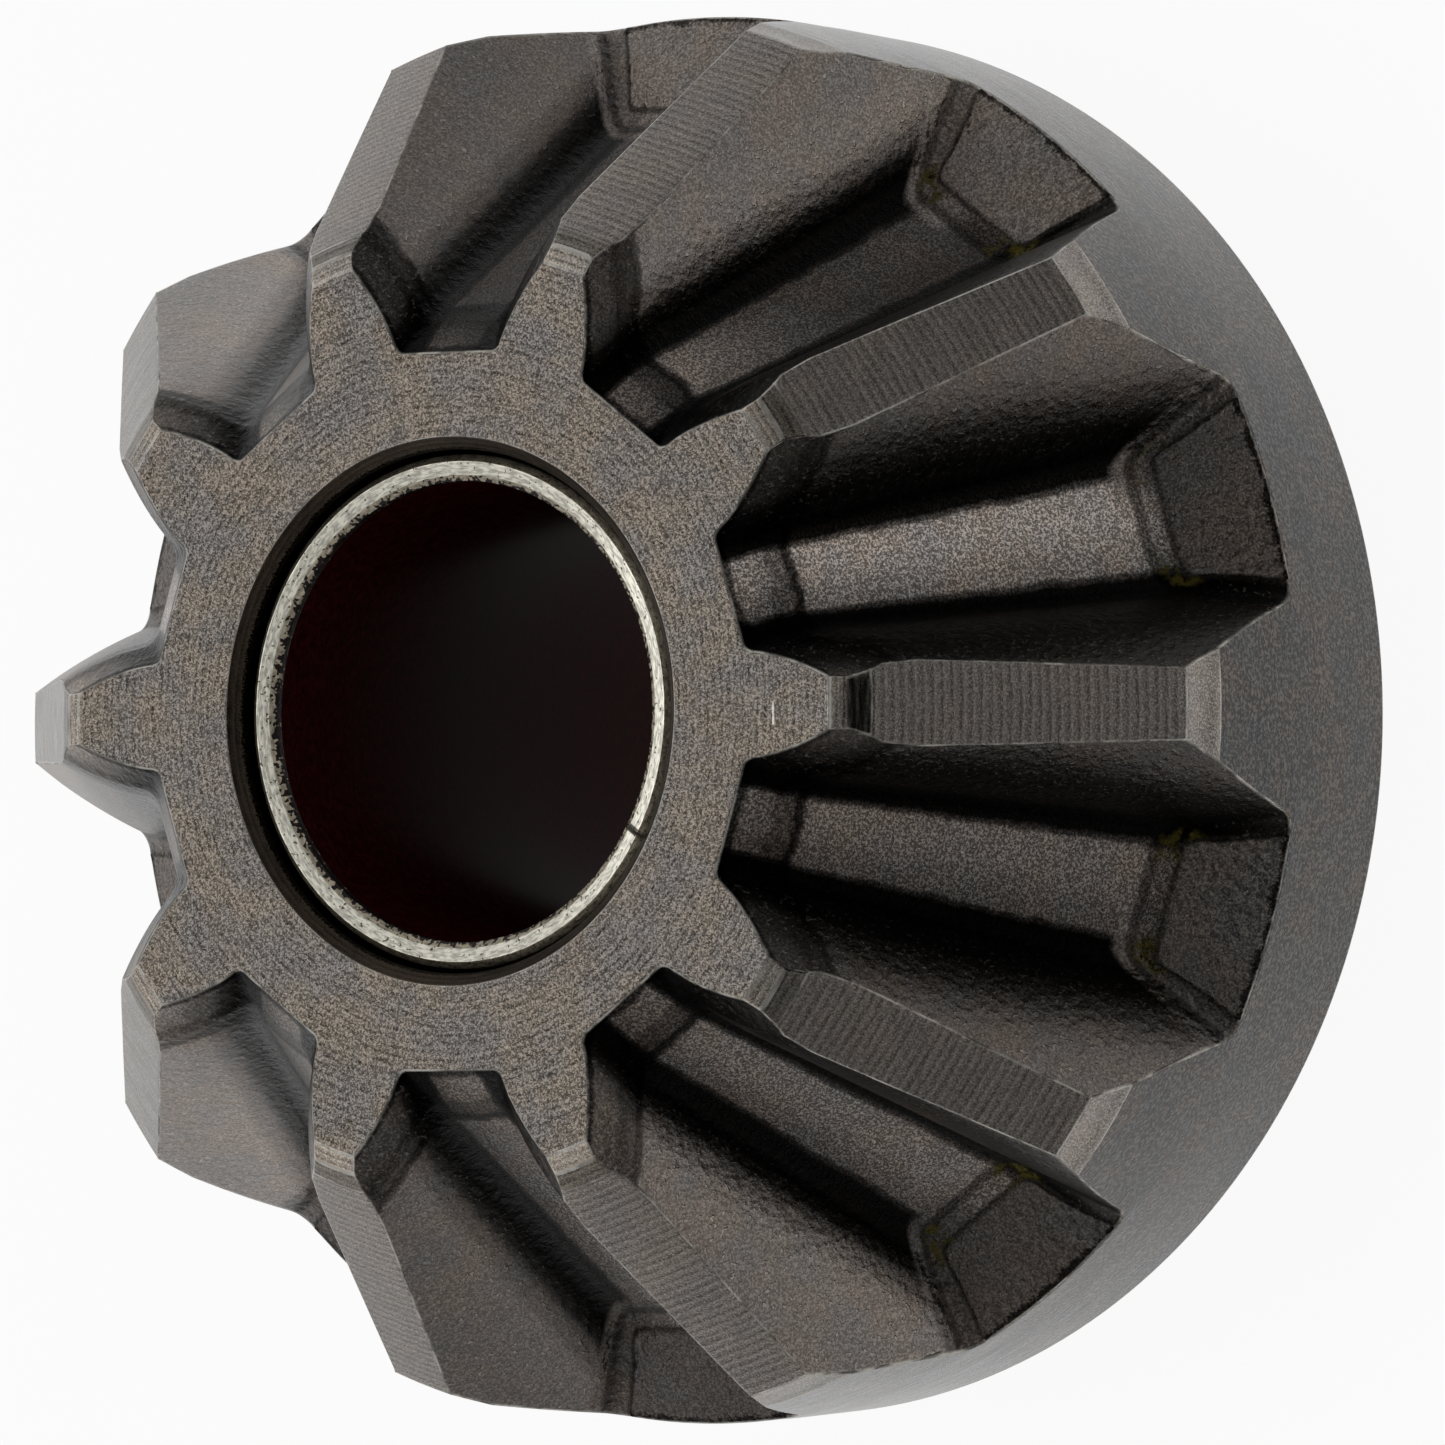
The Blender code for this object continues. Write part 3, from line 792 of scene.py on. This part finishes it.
# %% [markdown]
# ## The machined faces
#
# After forging, the nose, the tooth tops, the rim and the back are turned in
# a lathe, then coated. The tool leaves one groove for each turn, 0.56 mm apart
# on the nose and 0.43 mm of radius apart on the tooth tops, as measured in the
# photograph. An anisotropic shader could fake the sheen, but the grooves are
# seen one by one here. So they are a wave in the bump and in the tone, broken
# up by streaks round the axis.

# %% Write the finish of a turned face
WORN_TURNED, SCRATCHED = (0.5, 0.49, 0.46), (0.6, 0.58, 0.53)


def turned_finish(name, warm, cold, roughness, across, feed, parts, depths, worn_share=0.6,
                  by_radius=(0, 1, 1, 1), lumps=7.5, bright_lines=()):
    """Coat over turned metal: its tone times the sum of streaks, grooves and glitter, each with its part.

    The depths are the millimetres of marks and grain in the bump. By radius gives the two radii between
    which the tone changes, and its level at each.
    """
    material, tree, shader = new_finish(name, 1, roughness)
    place, _, _, height, radius = in_mm(tree)
    coat = use(tree, coat_tones, Place=place, Warm=(*warm, 1), Cold=(*cold, 1))
    across = radius if across == "radius" else height
    marks = use(tree, tool_marks, Place=place, Across=across, Feed=feed, Drawn=14)
    grain = use(tree, coat_grain, Place=place, Lumps=lumps)
    light = straight(marks["Streaks"], parts[0], 1 - sum(parts) / 2)
    light = straight(marks["Grooves"], parts[1], light)
    light = straight(grain["Glitter"], parts[2], light)
    ragged = straight(grain["Height"], 0.6, radius)
    tone = scaled(coat["Color"], times(light, fade(ragged, *by_radius)))
    if worn_share:
        worn = use(tree, edge_wear, Place=place, Spread=0.3)["Worn"]
        tone = mixture(times(worn, worn_share), tone, WORN_TURNED)
    for line_x, line_y, half in bright_lines:
        scratched = use(tree, bright_line, Place=place, X=line_x, Y=line_y, Half=half)["Scratched"]
        tone = mixture(scratched, tone, SCRATCHED)
    plug(shader, {"Base Color": tone, "Roughness": straight(marks["Streaks"], 0.1, roughness - 0.05)})
    raise_by(shader, straight(grain["Height"], depths[1] * MM, times(marks["Height"], depths[0] * MM)))
    return material


print("Worn metal has the colour", WORN_TURNED)

# %% Finish the machined faces
NOSE_FEED, TOPS_FEED = 0.559, 0.433
finish_of = {}
for *values, more in (
        ("nose_face", (0.186, 0.157, 0.128), (0.149, 0.139, 0.131), 0.34, "radius", NOSE_FEED,
         (0.3, 0.28, 1.2), (0.004, 0.02), {"bright_lines": ((25.6, -0.58, 0.6), (29.9, 0, 2.3))}),
        ("tooth_tops", (0.198, 0.175, 0.153), (0.178, 0.164, 0.153), 0.3, "radius", TOPS_FEED,
         (0.12, 0.42, 0.8), (0.008, 0.016), {"worn_share": 0.7, "by_radius": (46.2, 47, 1, 1.25)}),
        ("tip_chamfers", (0.21, 0.182, 0.152), (0.18, 0.165, 0.147), 0.2, "radius", 0.47,
         (0.3, 0.5, 0.8), (0.003, 0.006),
         {"by_radius": (31.3, 31.6, 1.45, 0.7), "bright_lines": ((30, 0, 2.3),)}),
        ("rim", (0.064, 0.049, 0.038), (0.041, 0.042, 0.043), 0.3, "height", 0.42,
         (0.25, 0.05, 1.4), (0.002, 0.045), {"lumps": 3.6}),
        ("back_face", (0.13, 0.115, 0.1), (0.11, 0.105, 0.1), 0.34, "radius", NOSE_FEED,
         (0.25, 0.3, 0.7), (0.007, 0.012), {}),
        # The bore wall and the inner part of its mouth chamfer are darkened almost to black: painted shade in
        # the gap behind the bush.
        ("bore_wall", (0.05, 0.038, 0.028), (0.04, 0.032, 0.024), 0.4, "height", 0.3,
         (0.3, 0.5, 0.4), (0.004, 0.006), {"worn_share": 0, "by_radius": (17.38, 17.55, 0.02, 1)})):
    finish_of[values[0]] = turned_finish(*values, **more)
plug(finish_of["rim"].node_tree.nodes["Principled BSDF"], {"Coat Weight": 0.4, "Coat Roughness": 0.3})
print("Machined finishes:", list(finish_of))

# %% [markdown]
# ## The forged faces
#
# Flanks, floors and heel walls are as the forging die left them. Shot and
# scale give them an orange-peel grain with pits, and oil and soot lie in the
# fillets. The fillets are nearly black from that oil and soot together with
# painted shade. The floors, the toe bevel and the heel corners carry painted
# light and shade, and painted glints sit on the peel. All this follows the
# form: it could be painted by hand, but each point of the skin already knows
# how far round the space it is, and how far from the toe and the heel. So
# curves over those distances paint light and shade into every space, noise
# roughens their borders, and curves over x and y then paint one space darker
# or brighter than the next, as the light falls on it.

# %% Paint light and shade on the forged faces by their place in the space
FULL_GIRTH = 25
material, tree, shader = new_finish("forged_skin", 1, 0.4)
place, x, y, _, _ = in_mm(tree)
stray = maths("subtract", noise(place, 0.5, 3, 0.65), 0.5)
round_space, from_toe, from_heel = split(attribute(tree, "measure", "Vector"))
off_middle, aside = distance(round_space), distance(y)
outward = times(round_space, y)
girth = maths("add", straight(stray, 1.2, off_middle), fade(outward, 0, 100, 0, 0.6))
girth = maths("divide", girth, FULL_GIRTH)
# Painted light and shade across a space: brighter on the floor, almost black in the root fillets, where oil
# and soot lie too, and lighter again towards the flank tips.
floor_light_and_root_shade = ((0, 1.5), (0.152, 1.3), (0.175, 0.25), (0.2, 0.02))
steep = curve(girth, floor_light_and_root_shade + ((0.34, 0.025), (0.44, 0.1), (0.58, 0.5), (0.85, 1.25)))
level = curve(girth, floor_light_and_root_shade + (
    (0.32, 0.02), (0.39, 0.12), (0.48, 0.85), (0.58, 1.3), (0.7, 1.2), (0.85, 1.1)))
across = fade(aside, 17, 27, steep, level)
heel = straight(stray, 0.5, from_heel)
early = times(fade(heel, -3.4, -2.6), fade(outward, 0, 60, 0, 0.75))
to_wall = maths("maximum", fade(heel, -0.5, 0.4), early)
walls = between(to_wall, across, 1.05)
# Painted shade: two dark lines across the space near the heel, where floor and flanks bend into the wall.
heel_corner_shade = curve(straight(heel, 0.1, 0.5), (
    (0, 1), (0.27, 1), (0.31, 0.35), (0.35, 0.35), (0.4, 1), (0.46, 1), (0.5, 0.3), (0.55, 1)))
toe = straight(stray, 1.2, from_toe)
# Painted light and shade along the toe bevel: dark at the nose edge, then a bright band, then darker with a
# dark line, and plain beyond. It is weaker towards the flank tips.
toe_light_and_shade = curve(times(toe, 0.1), (
    (0, 0.3), (0.04, 0.35), (0.08, 1.8), (0.24, 1.5), (0.3, 0.7), (0.4, 0.6), (0.44, 0.1), (0.475, 0.15),
    (0.52, 1)))
toe_light_and_shade = between(fade(off_middle, 8, 16, 1, 0.7), 1, toe_light_and_shade)
print("The curves round a space end where the girth is", FULL_GIRTH, "% of the distance to the apex")

# %% Paint light and shade that change from space to space
# Curves over x and y make the floor, the flanks, the heel wall and the toe of each space brighter or darker
# as the light falls on that place round the gear: painted light and shade.
on_floor = fade(off_middle, 4.5, 6.5, 1, 0)
by_y = straight(y, 0.01, 0.5)
floors = curve(by_y, (
    (0.1, 0.9), (0.25, 0.75), (0.38, 0.65), (0.5, 0.8), (0.6, 1.75), (0.68, 1.5), (0.77, 0.3), (0.9, 0.4)))
floors = times(floors, fade(round_space, -4.5, 4.5, 0.7, 1.35))
# Painted shadow on one flank of each space towards +x, and painted light and shade on the flanks by x.
dim = times(fade(round_space, -5, -3, 1, 0), fade(y, 1, 3, 0, 0.7))
shadowed = times(fade(outward, -330, -150, 0.25, 1), maths("subtract", 1, dim))
flanks = times(
    maths("maximum", fade(aside, 14, 30, 0.5, 1.3), fade(x, -25, 8, 1.6, 0.5)),
    maths("maximum", shadowed, fade(x, 0, 12, 1, 0)),
    curve(straight(x, 0.01, 0.5), ((0.3, 1), (0.36, 0.6), (0.48, 0.6), (0.54, 1))))
painted_light_by_space = between(on_floor, flanks, floors)
wall_light_by_space = curve(by_y, ((0.1, 0.6), (0.2, 0.65), (0.35, 1.05), (0.65, 1), (0.85, 1.35)))
painted_light_by_space = between(to_wall, painted_light_by_space, wall_light_by_space)
toe_shade_by_space = curve(by_y, ((0.1, 0.6), (0.3, 0.6), (0.4, 0.7), (0.62, 0.7), (0.7, 0.3), (0.9, 0.4)))
painted_light_by_space = times(painted_light_by_space, fade(toe, 4, 5.2, toe_shade_by_space, 1))
print("The shading of the forged faces takes", len(tree.nodes), "nodes")

# %% Finish the forged faces
OILY, WORN_FORGING = (0.045, 0.037, 0.008), (0.4, 0.38, 0.34)
coat = use(tree, coat_tones, Place=place, Warm=(0.134, 0.112, 0.096, 1), Cold=(0.116, 0.108, 0.102, 1))
grain = use(tree, coat_grain, Place=place, Lumps=5.5)
lip = straight(stray, 1.6, attribute(tree, "lip"))
lip = fade(straight(maths("subtract", grain["Height"], 0.5), 0.5, lip), 0.25, 0.65, 0.15, 1)
shade = times(walls, heel_corner_shade, times(toe_light_and_shade, lip), painted_light_by_space)
coarse = straight(to_wall, -0.7, on_floor)
light = times(grain["Glitter"], fade(coarse, 0, 1, 0.7, 1.2))
light = maths("add", light, fade(coarse, 0, 1, 0.6, 0.4))
# The peel's lumps raise the surface in the bump and also lighten the colour where they stand high. These are
# painted glints, and they stay bright even in the dark fillets.
peel_bumps_and_glints = fade(noise(place, 2.8, 1, 0.6), 0.62, 0.7)
light = straight(peel_bumps_and_glints, 0.4, light)
painted_glints = times(peel_bumps_and_glints, fade(girth, 0.3, 0.42, 0, 0.25))
light = straight(light, shade, painted_glints)
oil = times(fade(straight(stray, 2.6, distance(from_heel, -0.9)), 0.4, 1.1, 1, 0),
            fade(distance(off_middle, 5), 1, 2.6, 1, 0),
            fade(noise(place, 0.9, 2, 0.6), 0.42, 0.58), fade(x, 0, 15, 0, 0.9))
tone = mixture(oil, scaled(coat["Color"], light), OILY)
tone = mixture(use(tree, edge_wear, Place=place, Spread=0.2)["Worn"], tone, WORN_FORGING)
roughness = straight(oil, -0.18, straight(grain["Glitter"], 0.1, 0.32))
plug(shader, {"Base Color": tone, "Roughness": roughness})
surface = times(grain["Height"], fade(coarse, 0, 1, 0.03 * MM, 0.05 * MM))
waves = straight(to_wall, 0.14 * MM, fade(on_floor, 0, 1, 0.1 * MM, 0.03 * MM))
surface = straight(noise(place, 1.4, 1, 0.5), waves, surface)
raise_by(shader, straight(peel_bumps_and_glints, 0.035 * MM, surface))
finish_of["forged_skin"] = material
print("The forged finish has", len(tree.nodes), "nodes")

# %% [markdown]
# ## The finishes of the bush
#
# The skin of the bush is tin-coloured and bright, and scratched round where it
# was faced. Its inner chamfer is speckled where the dark layer shows through,
# more and more towards the inside, and the lining is a dark wine-coloured
# polymer that reflects little. One function mixes two tones by the grain, and
# the height of grain that parts them moves their border. Painted shade darkens
# the bush towards both sides in y, and painted light brightens the lining
# towards the foot of the bush.

# %% Finish the bush
BUSH_HALF, BUSH_MIDDLE = 23.67, 24.77


def bush_finish(name, bright, dark, metallic, roughness, lumps, borders, depths, specular=0.5,
                across="radius"):
    """Two tones parted by the grain, with streaks round the axis, and painted shade towards both sides in y.

    The borders are the heights of grain that part the tones, near the end of the bush and 0.8 mm into it.
    """
    material, tree, shader = new_finish(name, metallic, roughness, specular)
    place, _, y, height, radius = in_mm(tree)
    across = radius if across == "radius" else height
    marks = use(tree, tool_marks, Place=place, Across=across, Feed=0.11, Drawn=24)
    grain = use(tree, coat_grain, Place=place, Lumps=lumps)
    from_end = maths("subtract", BUSH_HALF, distance(height, BUSH_MIDDLE))
    border = fade(from_end, 0.22, 0.8, *borders)
    share = fade(maths("subtract", grain["Height"], border), -0.03, 0.03)
    tone = scaled(mixture(share, dark, bright), straight(marks["Streaks"], 0.7, 0.75))
    # Painted shade: the bush grows darker away from the x axis, towards both sides in y.
    tone = scaled(tone, fade(distance(y), 7, 16, 1, 0.62))
    plug(shader, {"Base Color": tone})
    raise_by(shader, straight(grain["Height"], depths[1] * MM, times(marks["Height"], depths[0] * MM)))
    return material, shader, tone, height


for settings in (
        ("bush_face", (0.6, 0.58, 0.5), (0.1, 0.09, 0.07), 1, 0.28, 3, (0.33, 0.33), (0.004, 0.004)),
        ("bush_inner_chamfer", (0.42, 0.37, 0.28), (0.012, 0.007, 0.006), 0.6, 0.42, 2.6, (0.37, 0.68),
         (0, 0.04)),
        ("bush_rim", (0.42, 0.37, 0.28), (0.2, 0.16, 0.11), 0.9, 0.4, 4, (0.42, 0.42), (0.002, 0.01)),
        ("bush_lining", (0.034, 0.0036, 0.0036), (0.024, 0.002, 0.002), 0, 0.4, 1.6, (0.5, 0.5),
         (0.0005, 0.045), 0, "height")):
    finish_of[settings[0]], shader, tone, height = bush_finish(*settings)
# Painted light on the lining, the last finish made: its colour grows up to 2.8 times brighter towards the
# foot of the bush.
plug(shader, {"Base Color": scaled(tone, fade(height, 28, 6, 1, 2.8)),
              "Coat Weight": fade(height, 46, 20, 0.015, 0.1), "Coat Roughness": 0.27})
for mesh, names in ((gear_mesh, FINISHES), (bush_mesh, BUSH_FINISHES)):
    for name in names:
        mesh.materials.append(finish_of[name])
print("Finishes:", len(finish_of))

# %% [markdown]
# ## Floor and light
#
# The gear stands on a white sweep and has no shadow to speak of. The floor is
# painted pale, and the camera and the metal see most of it as plain white. It
# still takes a shadow. The light is a soft tent: brightest on the left, darker
# on the right and dark where the camera stands, because a face that looks at
# the camera shows the dark behind the lens. One large lamp hangs over the left.

# %% Lay the floor
FLOOR_DEPTH = 0.0001
corners = [(x, y, -FLOOR_DEPTH) for x, y in ((-6, -6), (6, -6), (6, 6), (-6, 6))]
floor_mesh = bpy.data.meshes.new("floor")
floor_mesh.from_pydata(corners, [], [(0, 1, 2, 3)])
floor = new_object("floor", floor_mesh)
pale, tree, shader = new_finish("floor_white", 0, 0.9)
plug(shader, {"Base Color": (0.9, 0.9, 0.9, 1)})
floor_mesh.materials.append(pale)
path = add(tree, "LightPath").outputs
seen = maths("maximum", maths("maximum", path["Is Camera Ray"], path["Is Glossy Ray"]),
             path["Is Transmission Ray"])
white = add(tree, "Emission").outputs[0]
mix = add(tree, "MixShader", {0: times(seen, 0.93), 1: shader.outputs[0], 2: white})
plug(tree.nodes["Material Output"], {0: mix.outputs[0]})
print("The floor lies", FLOOR_DEPTH / MM, "mm below the gear")

# %% Set the light
CAMERA_SIDE = (0.567, -0.026, 0.823)
world = bpy.data.worlds.new("studio")
world.use_nodes = True
bpy.context.scene.world = world
bpy.context.scene.view_settings.view_transform = "Standard"
tree = world.node_tree
sky = add(tree, "TexCoord").outputs["Generated"]
x, y, z = split(sky)
level_part = maths("sqrt", maths("maximum", straight(z, times(z, -1), 1), 0.0001))
side = straight(maths("divide", x, level_part), 0.5, 0.5)
tent = curve(side, ((0, 1), (0.2, 0.95), (0.5, 0.5), (0.72, 0.3), (1, 0.55)))
tent = between(fade(z, 0.82, 0.94), tent, 0.42)
toward = vector("DOT_PRODUCT", sky, CAMERA_SIDE)["Value"]
tent = times(tent, fade(toward, 0.9, 0.965, 1, 0.03))
plug(tree.nodes["Background"], {"Color": tent})
lamp_data = bpy.data.lights.new("overhead_left", "AREA")
lamp_data.shape, lamp_data.size, lamp_data.energy = "DISK", 0.75, 0.8
lamp = new_object("overhead_left", lamp_data)
lamp.location = (-0.62, 0.03, 0.9)
lamp.rotation_euler = (-lamp.location).to_track_quat("-Z", "Y").to_euler()
print("The lamp hangs", round(lamp.location.length, 2), "m from the gear")
